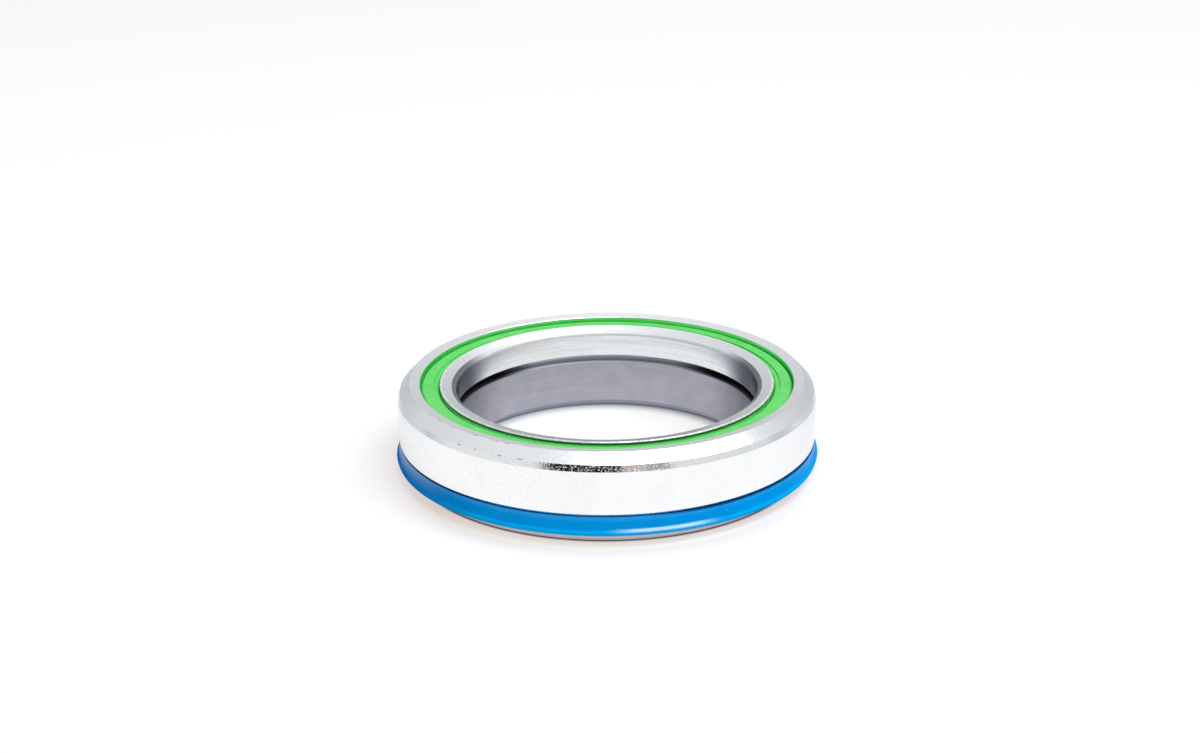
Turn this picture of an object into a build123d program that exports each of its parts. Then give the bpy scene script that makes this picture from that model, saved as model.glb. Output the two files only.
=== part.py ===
from build123d import *
import os
from math import radians, tan

# Driving dimensions, in millimetres and degrees, with the axis along +Z and the race's base at Z = 0

# Crown race, the ring that is pressed on the fork
RACE_BORE = 30.0
RACE_LEAD_IN = 0.65
RACE_TOP_EDGE = 0.05
RACE_RIM_HEIGHT = 1.05
RACE_RIM_INSET = 1.40
RACE_RIM_EDGE = 0.12
RACE_COLLAR_STEP = 0.25
RACE_COLLAR_HEIGHT = 0.35
SEAT_ANGLE = 36.0
SEAT_RELIEF = 0.75

# Wiper seal, the rubber ring in the crown race's groove
WIPER_GROOVE_DEPTH = 0.65
WIPER_GROOVE_HEIGHT = 0.65
WIPER_OVERHANG = 0.34
WIPER_FLARE = 0.19
WIPER_FLARE_HEIGHT = 0.17
WIPER_FLARE_ROUND = 0.30
WIPER_BEAD_HEIGHT = 0.49
WIPER_BEAD_ROUND = 0.18
WIPER_UNDERCUT = 0.12
WIPER_LIFT = 0.08
WIPER_LIP_WIDTH = 0.11
WIPER_LIP_RISE = 0.45
WIPER_LIP_GAP = 0.07
WIPER_ROOT_RISE = 0.15
WIPER_EDGE = 0.05

# Balls and retainer
BALL_DIAMETER = 3.175
BALL_COUNT = 24
RACEWAY_CLEARANCE = 0.0525
POCKET_CLEARANCE = 0.1125
RETAINER_RIM = 0.35
RETAINER_SKIRT = 0.50
RETAINER_SIDE_GAP = 0.20
RETAINER_EDGE = 0.10

# Bearing rings
BEARING_STANDOFF = 0.45
BORE_STEP = 0.10
INNER_WALL = 1.60
INNER_TOP_DROP = 0.29
INNER_DISH = 0.39
INNER_FLANGE_REACH = 0.20
INNER_FOOT = 0.775
INNER_ROUND = 0.12
BORE_ROUND = 0.30
OUTER_WALL = 1.45
OUTER_FLANGE_REACH = 0.325
SHOULDER_SNAP = 0.265
LOWER_COVER = 1.55
SEAT_CHAMFER = 0.95
BAND_WIDTH = 0.20
BAND_HEIGHT = 0.62
FOOT_WIDTH = 0.50
FOOT_HEIGHT = 0.74
LAND_DISH = 0.14
LAND_ROUND = 0.12
RING_EDGE = 0.06

# Upper seal, snapped in the outer ring's upper groove
UPPER_SEAL_GAP = 0.22
UPPER_SEAL_THICKNESS = 0.50
UPPER_SEAL_RECESS = 0.54
UPPER_SEAL_SHELF = 0.27
UPPER_SNAP_DEPTH = 0.28
UPPER_SNAP_HEIGHT = 0.44
UPPER_SEAL_SLOPE = 0.28
UPPER_SEAL_DIP = 0.32
UPPER_LIP_WIDTH = 0.58
UPPER_LIP_STEP = 0.16
UPPER_LIP_HANG = 0.18
UPPER_LIP_TIP = 0.10
SEAL_EDGE = 0.04

# Lower seal, snapped in the outer ring's lower groove
LOWER_SEAL_LIFT = 0.35
LOWER_SEAL_THICKNESS = 0.50
LOWER_SNAP_DEPTH = 0.20
LOWER_LIP_WIDTH = 0.45
LOWER_LIP_THICKNESS = 0.22

# Fits of both seals
SEAL_FIT = 0.02
SEAL_RUNNING_GAP = 0.06

# Radii, worked outwards from the crown race's bore
ball_radius = BALL_DIAMETER / 2
raceway_radius = ball_radius + RACEWAY_CLEARANCE
pocket_radius = ball_radius + POCKET_CLEARANCE
race_bore_radius = RACE_BORE / 2
bore_radius = race_bore_radius + BORE_STEP
inner_shoulder_radius = bore_radius + INNER_WALL
pitch_radius = inner_shoulder_radius + raceway_radius - SHOULDER_SNAP
outer_shoulder_radius = pitch_radius + raceway_radius - SHOULDER_SNAP
outer_radius = outer_shoulder_radius + OUTER_WALL
inner_flange_radius = pitch_radius + INNER_FLANGE_REACH
outer_flange_radius = pitch_radius + OUTER_FLANGE_REACH
land_inner_radius = outer_flange_radius + UPPER_SEAL_SHELF
land_outer_radius = outer_radius - BAND_WIDTH - SEAT_CHAMFER
seat_foot_radius = inner_flange_radius - INNER_FOOT
ring_foot_radius = outer_radius - FOOT_WIDTH
race_rim_radius = outer_radius - RACE_RIM_INSET
race_collar_radius = race_rim_radius - RACE_COLLAR_STEP
wiper_groove_radius = race_rim_radius - WIPER_GROOVE_DEPTH
wiper_radius = outer_radius + WIPER_OVERHANG

# Heights, stacked from the crown race's base
seat_slope = tan(radians(SEAT_ANGLE))
wiper_groove_top = RACE_RIM_HEIGHT + WIPER_GROOVE_HEIGHT
race_collar_top = wiper_groove_top + RACE_COLLAR_HEIGHT
bearing_bottom = race_collar_top + BEARING_STANDOFF
ball_height = bearing_bottom + LOWER_COVER + raceway_radius
retainer_top = ball_height + pocket_radius + RETAINER_RIM
upper_shelf = retainer_top + UPPER_SEAL_GAP
upper_seal_top = upper_shelf + UPPER_SEAL_THICKNESS
bearing_top = upper_seal_top + UPPER_SEAL_RECESS
inner_top = bearing_top - INNER_TOP_DROP
seat_top = bearing_bottom + (seat_foot_radius - bore_radius) / seat_slope
race_top = seat_top - SEAT_RELIEF


def seat_radius(height):
    """Radius of the cone that the inner ring and the crown race share, at a height."""
    return bore_radius + (seat_top - height) * seat_slope


def lip_line(height):
    """Radius of the wiper lip's inner wall, which runs beside the outer ring's foot, at a height."""
    foot_radius = ring_foot_radius + (height - bearing_bottom) * FOOT_WIDTH / FOOT_HEIGHT
    return foot_radius + WIPER_LIP_GAP


def turned(*corners):
    """Solid of revolution about Z from (radius, height, rounding) corners in order."""
    points = [(radius, height) for radius, height, rounding in corners]
    roundings = [rounding for radius, height, rounding in corners]
    outline = FilletPolyline(*points, radius=roundings, close=True)
    return revolve(Plane.XZ * make_face(outline), Axis.Z)


def raceway():
    """Ring-shaped track that the balls run in."""
    return Pos(0, 0, ball_height) * Torus(pitch_radius, raceway_radius)


def ball_places():
    """Ball centres, evenly spaced on the pitch circle."""
    return Pos(0, 0, ball_height) * PolarLocations(pitch_radius, BALL_COUNT)


def crown_race():
    """Pressed ring with a conical seat, a grooved rim and a chamfered bore."""
    return turned(
        (race_bore_radius + RACE_LEAD_IN, 0, 0),
        (race_rim_radius, 0, RACE_RIM_EDGE),
        (race_rim_radius, RACE_RIM_HEIGHT, RING_EDGE),
        (wiper_groove_radius, RACE_RIM_HEIGHT, 0),
        (wiper_groove_radius, wiper_groove_top, 0),
        (race_collar_radius, wiper_groove_top, 0),
        (race_collar_radius, race_collar_top, 0),
        (seat_radius(race_collar_top), race_collar_top, 0),
        (seat_radius(race_top), race_top, RING_EDGE),
        (race_bore_radius + RACE_TOP_EDGE, race_top, 0),
        (race_bore_radius, race_top - RACE_TOP_EDGE, 0),
        (race_bore_radius, RACE_LEAD_IN, 0),
    )


def crown_race_seal():
    """Flared rubber wiper, held in the crown race's groove, with a lip under the outer ring."""
    bead_bottom = RACE_RIM_HEIGHT + WIPER_LIFT
    bead_top = bead_bottom + WIPER_BEAD_HEIGHT
    flare_top = bead_top + WIPER_FLARE_HEIGHT
    skirt_radius = wiper_radius - WIPER_FLARE
    lip_top = bearing_bottom + WIPER_LIP_RISE
    root_top = race_collar_top + WIPER_ROOT_RISE
    return turned(
        (wiper_groove_radius, RACE_RIM_HEIGHT, 0),
        (race_rim_radius, RACE_RIM_HEIGHT, 0),
        (wiper_radius - WIPER_UNDERCUT, bead_bottom, WIPER_BEAD_ROUND),
        (wiper_radius, bead_top, WIPER_BEAD_ROUND),
        (skirt_radius, flare_top, WIPER_FLARE_ROUND),
        (lip_line(lip_top) + WIPER_LIP_WIDTH, lip_top, WIPER_EDGE),
        (lip_line(lip_top), lip_top, WIPER_EDGE),
        (lip_line(root_top), root_top, 0),
        (race_collar_radius, race_collar_top, 0),
        (race_collar_radius, wiper_groove_top, 0),
        (wiper_groove_radius, wiper_groove_top, 0),
    )


def inner_ring():
    """Inner bearing ring with a dished top face, its raceway above a flange and the conical seat below."""
    blank = turned(
        (bore_radius, inner_top - INNER_DISH, BORE_ROUND),
        (bore_radius, seat_top, 0),
        (seat_foot_radius, bearing_bottom, 0),
        (inner_flange_radius, bearing_bottom, RING_EDGE),
        (inner_flange_radius, ball_height, 0),
        (inner_shoulder_radius, ball_height, 0),
        (inner_shoulder_radius, inner_top, INNER_ROUND),
    )
    return blank - raceway()


def outer_ring():
    """Outer bearing ring with its raceway, a dished land, a conical seat and a groove for each seal."""
    lower_groove_bottom = bearing_bottom + LOWER_SEAL_LIFT
    lower_groove_top = lower_groove_bottom + LOWER_SEAL_THICKNESS
    blank = turned(
        (outer_shoulder_radius, bearing_bottom, 0),
        (ring_foot_radius, bearing_bottom, RING_EDGE),
        (outer_radius, bearing_bottom + FOOT_HEIGHT, RING_EDGE),
        (outer_radius, bearing_top - SEAT_CHAMFER - BAND_HEIGHT, RING_EDGE),
        (outer_radius - BAND_WIDTH, bearing_top - SEAT_CHAMFER, RING_EDGE),
        (land_outer_radius, bearing_top, RING_EDGE),
        (land_inner_radius, bearing_top - LAND_DISH, LAND_ROUND),
        (land_inner_radius, upper_shelf + UPPER_SNAP_HEIGHT, 0),
        (land_inner_radius + UPPER_SNAP_DEPTH, upper_shelf + UPPER_SNAP_HEIGHT, 0),
        (land_inner_radius + UPPER_SNAP_DEPTH, upper_shelf, 0),
        (outer_flange_radius, upper_shelf, 0),
        (outer_flange_radius, ball_height, 0),
        (outer_shoulder_radius, ball_height, 0),
        (outer_shoulder_radius, lower_groove_top, 0),
        (outer_shoulder_radius + LOWER_SNAP_DEPTH, lower_groove_top, 0),
        (outer_shoulder_radius + LOWER_SNAP_DEPTH, lower_groove_bottom, 0),
        (outer_shoulder_radius, lower_groove_bottom, 0),
    )
    return blank - raceway()


def ball_retainer():
    """Snap-in retainer: a ring over the balls with fingers between them."""
    inner_radius = inner_shoulder_radius + RETAINER_SIDE_GAP
    ring_radius = outer_flange_radius - RETAINER_SIDE_GAP
    blank = turned(
        (inner_radius, ball_height - RETAINER_SKIRT, RETAINER_EDGE),
        (ring_radius, ball_height - RETAINER_SKIRT, RETAINER_EDGE),
        (ring_radius, retainer_top, RETAINER_EDGE),
        (inner_radius, retainer_top, RETAINER_EDGE),
    )
    return blank - [place * Sphere(pocket_radius) for place in ball_places()]


def upper_seal():
    """Rubber ring between the bearing rings: a snap bead, a flat face and a stepped lip."""
    snap_radius = land_inner_radius + UPPER_SNAP_DEPTH - SEAL_FIT
    neck_radius = land_inner_radius - SEAL_FIT
    snap_bottom = upper_shelf + SEAL_FIT
    snap_top = upper_shelf + UPPER_SNAP_HEIGHT - SEAL_FIT
    lip_radius = inner_shoulder_radius + SEAL_RUNNING_GAP
    step_radius = lip_radius + UPPER_LIP_WIDTH
    step_height = upper_seal_top - UPPER_LIP_STEP
    lip_height = step_height - UPPER_LIP_HANG
    dip_height = upper_seal_top - UPPER_SEAL_DIP
    return turned(
        (snap_radius, snap_bottom, SEAL_EDGE),
        (snap_radius, snap_top, SEAL_EDGE),
        (neck_radius, snap_top, 0),
        (neck_radius, dip_height, 0),
        (neck_radius - UPPER_SEAL_SLOPE, upper_seal_top, SEAL_EDGE),
        (step_radius, upper_seal_top, SEAL_EDGE),
        (step_radius, step_height, 0),
        (lip_radius + UPPER_LIP_HANG, step_height, SEAL_EDGE),
        (lip_radius, lip_height, 0),
        (lip_radius, lip_height - UPPER_LIP_TIP, 0),
        (step_radius, snap_bottom, 0),
    )


def lower_seal():
    """Rubber ring that closes the bearing below, with a thin lip beside the inner flange."""
    bottom = bearing_bottom + LOWER_SEAL_LIFT + SEAL_FIT
    top = bearing_bottom + LOWER_SEAL_LIFT + LOWER_SEAL_THICKNESS - SEAL_FIT
    lip_radius = inner_flange_radius + SEAL_RUNNING_GAP
    lip_root_radius = lip_radius + LOWER_LIP_WIDTH
    snap_radius = outer_shoulder_radius + LOWER_SNAP_DEPTH - SEAL_FIT
    return turned(
        (lip_radius, bottom, 0),
        (snap_radius, bottom, SEAL_EDGE),
        (snap_radius, top, SEAL_EDGE),
        (lip_root_radius, top, 0),
        (lip_radius, bottom + LOWER_LIP_THICKNESS, 0),
    )


pieces = {
    "crown_race": crown_race(),
    "crown_race_seal": crown_race_seal(),
    "inner_ring": inner_ring(),
    "outer_ring": outer_ring(),
    "ball_retainer": ball_retainer(),
    "upper_seal": upper_seal(),
    "lower_seal": lower_seal(),
}
for number, place in enumerate(ball_places(), start=1):
    pieces[f"ball_{number:02d}"] = place * Sphere(ball_radius)

os.makedirs("parts", exist_ok=True)
for name, piece in pieces.items():
    export_step(piece.solid(), f"parts/{name}.step")

print(f"bearing {2 * outer_radius:.3f} x {2 * bore_radius:.3f} x {bearing_top - bearing_bottom:.3f} mm")
print(f"pitch radius {pitch_radius:.4f}, ball height {ball_height:.4f}, top {bearing_top:.4f} mm")
print(f"seat top {seat_top:.4f}, race top {race_top:.4f}, bearing bottom {bearing_bottom:.4f} mm")
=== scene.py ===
"""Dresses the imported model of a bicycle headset's lower bearing on its crown race.

The piece classes hold their sizes in millimetres, and the meshes are made in metres. +Z is the
steering axis, the crown race's base is at Z = 0 and the camera looks along +Y. In the finishes, a
place round the axis is given by its cosine, from -1 at the left end to 1 at the right end, or by
its sine, from -1 at the front to 1 at the back.
"""

import logging
import math
from dataclasses import dataclass, field
from enum import Enum
from typing import Any, Optional, Sequence, Union

import bpy
import numpy as np
from mathutils import Matrix, Vector


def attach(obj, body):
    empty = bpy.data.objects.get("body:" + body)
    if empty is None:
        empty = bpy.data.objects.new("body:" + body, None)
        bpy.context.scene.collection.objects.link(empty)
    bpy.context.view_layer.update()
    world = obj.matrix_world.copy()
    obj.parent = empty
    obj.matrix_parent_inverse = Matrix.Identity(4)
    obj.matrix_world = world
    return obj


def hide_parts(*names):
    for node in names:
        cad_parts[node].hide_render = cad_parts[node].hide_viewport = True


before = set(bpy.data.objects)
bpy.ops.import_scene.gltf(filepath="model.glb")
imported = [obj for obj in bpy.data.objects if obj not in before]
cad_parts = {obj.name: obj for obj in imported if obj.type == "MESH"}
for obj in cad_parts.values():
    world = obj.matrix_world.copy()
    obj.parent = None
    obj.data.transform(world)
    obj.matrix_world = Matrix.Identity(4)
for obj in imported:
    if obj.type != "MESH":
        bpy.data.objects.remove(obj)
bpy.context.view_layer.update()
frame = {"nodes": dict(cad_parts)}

log = logging.getLogger("headset_bearing")

Colour = tuple[float, float, float]
Span = tuple[float, float]  # start and end of a step
Spot = tuple[float, float]  # radius and height in millimetres
Relief = tuple[float, float]  # share that shows and full depth in millimetres of a bump

MM = 0.001
HALF = 0.5
WEAR = "wear"
BLACK: Colour = (0.0, 0.0, 0.0)
WHITE: Colour = (1.0, 1.0, 1.0)


class Slot(Enum):
    """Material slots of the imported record."""

    RACE_METAL = "race_metal"
    WIPER_RUBBER = "wiper_rubber"
    GROUND_STEEL = "ground_steel"
    ZINC_PLATE = "zinc_plate"
    RETAINER_NYLON = "retainer_nylon"
    SEAL_RUBBER = "seal_rubber"
    BALL_STEEL = "ball_steel"


class Body(Enum):
    """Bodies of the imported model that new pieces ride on."""

    FORK_SIDE = "fork_side"
    HEAD_TUBE_SIDE = "head_tube_side"


class Detail(Enum):
    """How many finer layers a noise has."""

    PLAIN = 1.0
    FINE = 2.0
    RICH = 3.0


class Shade:
    """A shader socket that takes part in Python arithmetic."""

    def __init__(self, graph: "Graph", socket: bpy.types.NodeSocket) -> None:
        """Keeps the socket and the graph that it belongs to."""
        self.graph = graph
        self.socket = socket

    def output(self, name: str) -> "Shade":
        """Another output of the same node."""
        return Shade(self.graph, self.socket.node.outputs[name])

    def __add__(self, other: "Term") -> "Shade":
        """self + other"""
        return self.graph.maths("ADD", self, other)

    def __radd__(self, other: "Term") -> "Shade":
        """other + self"""
        return self.graph.maths("ADD", other, self)

    def __sub__(self, other: "Term") -> "Shade":
        """self - other"""
        return self.graph.maths("SUBTRACT", self, other)

    def __rsub__(self, other: "Term") -> "Shade":
        """other - self"""
        return self.graph.maths("SUBTRACT", other, self)

    def __mul__(self, other: "Term") -> "Shade":
        """self * other"""
        return self.graph.maths("MULTIPLY", self, other)

    def __rmul__(self, other: "Term") -> "Shade":
        """other * self"""
        return self.graph.maths("MULTIPLY", other, self)

    def __truediv__(self, other: "Term") -> "Shade":
        """self / other"""
        return self.graph.maths("DIVIDE", self, other)

    def __rtruediv__(self, other: "Term") -> "Shade":
        """other / self"""
        return self.graph.maths("DIVIDE", other, self)


Term = Union[Shade, float]


def mean(share: float, first: Shade, second: Shade) -> Shade:
    """Weighted mean of two values, with this share of the first."""
    return share * first + (1.0 - share) * second


class Graph:
    """Adds nodes to one node tree."""

    def __init__(self, tree: bpy.types.NodeTree) -> None:
        """Starts from an empty tree."""
        tree.nodes.clear()
        self.tree = tree

    def node(
        self,
        kind: str,
        settings: Optional[dict[str, Any]] = None,
        inputs: Optional[dict[Union[str, int], Any]] = None,
        output: Union[str, int, None] = 0,
    ) -> Optional[Shade]:
        """Adds one node.

        Args:
            kind: the node's type, such as ShaderNodeBsdfPrincipled.
            settings: its properties, such as a Math node's operation, set first.
            inputs: values or links of its sockets, by name or number.
            output: the output to return, or None for a node that has none.

        Returns:
            The wrapped output, if one was asked for.
        """
        made = self.tree.nodes.new(kind)
        for name, setting in (settings or {}).items():
            setattr(made, name, setting)
        for key, term in (inputs or {}).items():
            if isinstance(term, Shade):
                self.tree.links.new(term.socket, made.inputs[key])
            else:
                made.inputs[key].default_value = term
        return None if output is None else Shade(self, made.outputs[output])

    def maths(self, operation: str, *terms: Term) -> Shade:
        """Adds a Math node.

        Args:
            operation: the node's operation, such as ADD.
            terms: its values or links in order.

        Returns:
            The node's result.
        """
        return self.node("ShaderNodeMath", {"operation": operation}, dict(enumerate(terms)))

    def step(self, term: Shade, span: Span, scale: float = 1.0) -> Shade:
        """Smooth step of a value.

        Args:
            term: the value.
            span: where the step starts, at 0, and where it ends, at 1.
            scale: the span's unit.

        Returns:
            The step, from 0 to 1.
        """
        return self.node(
            "ShaderNodeMapRange",
            {"interpolation_type": "SMOOTHSTEP"},
            {"Value": term, "From Min": span[0] * scale, "From Max": span[1] * scale},
        )

    def blend(self, share: Term, first: Any, second: Any) -> Shade:
        """Mixes two colours.

        Args:
            share: how much of the second colour shows.
            first: colour or link.
            second: colour or link.

        Returns:
            The mixed colour.
        """
        sides = [side if isinstance(side, Shade) else (*side, 1.0) for side in (first, second)]
        return self.node(
            "ShaderNodeMix",
            {"data_type": "RGBA"},
            {"Factor": share, 6: sides[0], 7: sides[1]},
            output=2,
        )

    def bump(self, height: Shade, relief: Relief) -> Shade:
        """Turns a height into a surface normal.

        Args:
            height: the height, from 0 to 1.
            relief: the bump's share and depth.

        Returns:
            The normal.
        """
        strength, depth = relief
        return self.node(
            "ShaderNodeBump", {}, {"Strength": strength, "Distance": depth * MM, "Height": height}
        )

    def surface(self, inputs: dict[str, Any]) -> None:
        """Ends a material with a Principled shader that has these inputs."""
        shader = self.node("ShaderNodeBsdfPrincipled", {}, inputs)
        self.node("ShaderNodeOutputMaterial", {}, {"Surface": shader}, output=None)


@dataclass(frozen=True)
class Patches:
    """Patches of noise: their width in millimetres, and the noise values at which they come up."""

    size: float
    span: Span
    detail: Detail = Detail.PLAIN


class AxisPlace:
    """Where a point of a surface lies about the steering axis."""

    SOFT = 0.02

    def __init__(self, graph: Graph) -> None:
        """Adds the nodes that work out the radius and the direction round the axis.

        Args:
            graph: the material's graph.
        """
        self.graph = graph
        self.point = graph.node("ShaderNodeTexCoord", output="Object")
        across = graph.node("ShaderNodeSeparateXYZ", {}, {"Vector": self.point}, output="X")
        along = across.output("Y")
        self.height = across.output("Z")
        self.radius = graph.maths("SQRT", across * across + along * along)
        self.cosine = across / self.radius
        self.sine = along / self.radius

    def outwards(self, radii: Span) -> Shade:
        """Step over radii in millimetres, from 0 inside to 1 outside."""
        return self.graph.step(self.radius, radii, MM)

    def upwards(self, heights: Span) -> Shade:
        """Step over heights in millimetres, from 0 below to 1 above."""
        return self.graph.step(self.height, heights, MM)

    def outside(self, radius: float) -> Shade:
        """1 outside a radius in millimetres, 0 inside it."""
        return self.outwards((radius - self.SOFT, radius + self.SOFT))

    def above(self, height: float) -> Shade:
        """1 above a height in millimetres, 0 below it."""
        return self.upwards((height - self.SOFT, height + self.SOFT))

    def below(self, height: float) -> Shade:
        """1 below a height in millimetres, 0 above it."""
        return 1.0 - self.above(height)

    def between(self, heights: Span) -> Shade:
        """1 between two heights in millimetres, 0 below and above them."""
        return self.above(heights[0]) * self.below(heights[1])

    def rightwards(self, cosines: Span) -> Shade:
        """Step over the cosine, from 0 on the left to 1 on the right."""
        return self.graph.step(self.cosine, cosines)

    def backwards(self, sines: Span) -> Shade:
        """Step over the sine, from 0 at the front to 1 at the back."""
        return self.graph.step(self.sine, sines)

    def sidewards(self, cosines: Span) -> Shade:
        """Step over the cosine's size, from 0 in the middle to 1 at the left and right ends."""
        return self.graph.step(self.graph.maths("ABSOLUTE", self.cosine), cosines)

    def noise(self, size: float, detail: Detail = Detail.FINE) -> Shade:
        """Soft noise.

        Args:
            size: width of its patches in millimetres.
            detail: how fine it is.

        Returns:
            The noise, from 0 to 1.
        """
        return self.graph.node(
            "ShaderNodeTexNoise",
            {"noise_dimensions": "3D"},
            {"Vector": self.point, "Scale": 1.0 / (size * MM), "Detail": detail.value},
        )

    def patches(self, patches: Patches) -> Shade:
        """1 in the patches, 0 between them."""
        return self.graph.step(self.noise(patches.size, patches.detail), patches.span)

    def lines(self, spacing: float, breaks: float) -> Shade:
        """Fine lines that run round the axis, as a lathe or a wheel leaves them.

        Args:
            spacing: their spacing in millimetres.
            breaks: how often a line changes on its way round.

        Returns:
            Their height, from 0 to 1.
        """
        scale = 1.0 / (spacing * MM)
        vector = self.graph.node(
            "ShaderNodeCombineXYZ",
            {},
            {"X": self.cosine * breaks, "Y": self.sine * breaks, "Z": self.height * scale},
        )
        return self.graph.node(
            "ShaderNodeTexNoise",
            {"noise_dimensions": "4D"},
            {"Vector": vector, "W": self.radius * scale, "Scale": 1.0, "Detail": Detail.RICH.value},
        )


@dataclass(frozen=True)
class Finish:
    """A finish of one material slot."""

    slot: Slot

    def paint(self, graph: Graph) -> None:
        """Builds the finish's nodes."""
        raise NotImplementedError

    def material(self) -> bpy.types.Material:
        """Makes the finish's material.

        Returns:
            The new material, named after its slot.
        """
        made = bpy.data.materials.new(f"{self.slot.value}_finish")
        made.use_nodes = True
        self.paint(Graph(made.node_tree))
        return made


@dataclass(frozen=True)
class ZincPlate(Finish):
    """Bright zinc plate: speckled and clouded, pitted on the left, bare in its nicks, with painted shade
    at the left and right ends of its cylinder.

    The narrow band under the seat is grainy at the front, and the wall by the seal has a painted green
    reflection of the seal.
    """

    slot: Slot = Slot.ZINC_PLATE
    bright: Colour = (0.945, 0.952, 0.957)
    cloudy: Colour = (0.92, 0.928, 0.936)
    # painted shade: colour of the cylinder's darker left and right ends
    painted_end_shade: Colour = (0.79, 0.80, 0.81)
    worn: Colour = (0.22, 0.21, 0.21)
    # painted reflection: green of the seal painted on the wall beside it
    mirrored: Colour = (0.50, 0.85, 0.55)
    speckle_size: float = 0.14
    cloud_size: float = 2.4
    cloud_share: float = 0.40
    hazy: Span = (0.42, 0.66)
    pits: Patches = Patches(0.17, (0.60, 0.78))
    pit_share: float = 0.24
    pit_relief: float = 1.9
    smooth_right: Span = (-0.55, 0.25)
    painted_shade_ends: Span = (0.72, 1.0)
    painted_end_share: float = 0.7
    band: Span = (7.43, 8.05)
    band_gloss: float = 0.55
    grain: Patches = Patches(0.14, (0.57, 0.61))
    grain_share: float = 0.95
    grain_stop: Span = (-0.95, -0.80)
    grain_loss: float = 0.8
    land_edge: Spot = (19.76, 8.99)
    edge_line: Span = (0.022, 0.055)
    edge_breaks: Patches = Patches(0.7, (0.47, 0.60), Detail.FINE)
    edge_share: float = 0.6
    chips: Span = (0.35, 0.75)
    chip_speckle: float = 0.6
    bare_share: float = 0.55
    seal_wall: Spot = (18.76, 8.82)
    roughness: float = 0.15
    haze_roughness: float = 0.09
    speckle_roughness: float = 0.08
    bare_roughness: float = 0.25
    relief: Relief = (0.30, 0.016)

    def paint(self, graph: Graph) -> None:
        """Builds the finish's nodes.

        Args:
            graph: the material's graph.
        """
        place = AxisPlace(graph)
        speckle = place.noise(self.speckle_size)
        clouds = place.noise(self.cloud_size, Detail.RICH)
        haze = graph.step(mean(self.cloud_share, clouds, speckle), self.hazy)
        pits = place.patches(self.pits)
        pitted = 1.0 - place.rightwards(self.smooth_right)
        # painted shade: the ring below the band is darker at its left and right ends
        end_shading = place.sidewards(self.painted_shade_ends) * place.below(self.band[0])
        in_band = place.between(self.band)
        grain = place.patches(self.grain) * (1.0 - self.grain_loss * place.backwards(self.grain_stop))
        # where the painted reflection of the seal lies
        painted_light_by_seal = (1.0 - place.outside(self.seal_wall[0])) * place.below(self.seal_wall[1])
        bare = self.bare_metal(place, speckle)
        colour = graph.blend(haze, self.bright, self.cloudy)
        colour = graph.blend(self.painted_end_share * end_shading, colour, self.painted_end_shade)
        colour = graph.blend(self.pit_share * pits * pitted, colour, self.worn)
        colour = graph.blend(painted_light_by_seal, colour, self.mirrored)
        roughness = self.roughness + self.haze_roughness * haze + self.speckle_roughness * speckle
        roughness = roughness * (1.0 - self.band_gloss * in_band) + self.bare_roughness * bare
        height = mean(HALF, speckle, pits) * (1.0 + self.pit_relief * pitted)
        graph.surface({
            "Base Color": graph.blend(self.bare_share * bare, colour, self.worn),
            "Metallic": 1.0 - self.grain_share * grain * in_band,
            "Roughness": roughness,
            "Normal": graph.bump(height, self.relief),
        })

    def bare_metal(self, place: AxisPlace, speckle: Shade) -> Shade:
        """Where the plate is gone: in the nicks, and in a broken line along the land's outer edge.

        Args:
            place: where the point lies.
            speckle: the plate's speckle.

        Returns:
            How bare the metal is, from 0 to 1.
        """
        graph = place.graph
        across = place.radius - self.land_edge[0] * MM
        up = place.height - self.land_edge[1] * MM
        from_edge = graph.maths("SQRT", across * across + up * up)
        line = (1.0 - graph.step(from_edge, self.edge_line, MM)) * place.patches(self.edge_breaks)
        wear = graph.node("ShaderNodeAttribute", {"attribute_name": WEAR}, output="Fac")
        chipped = graph.step(wear + self.chip_speckle * (speckle - HALF), self.chips)
        return graph.maths("MAXIMUM", chipped, self.edge_share * line)


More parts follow.
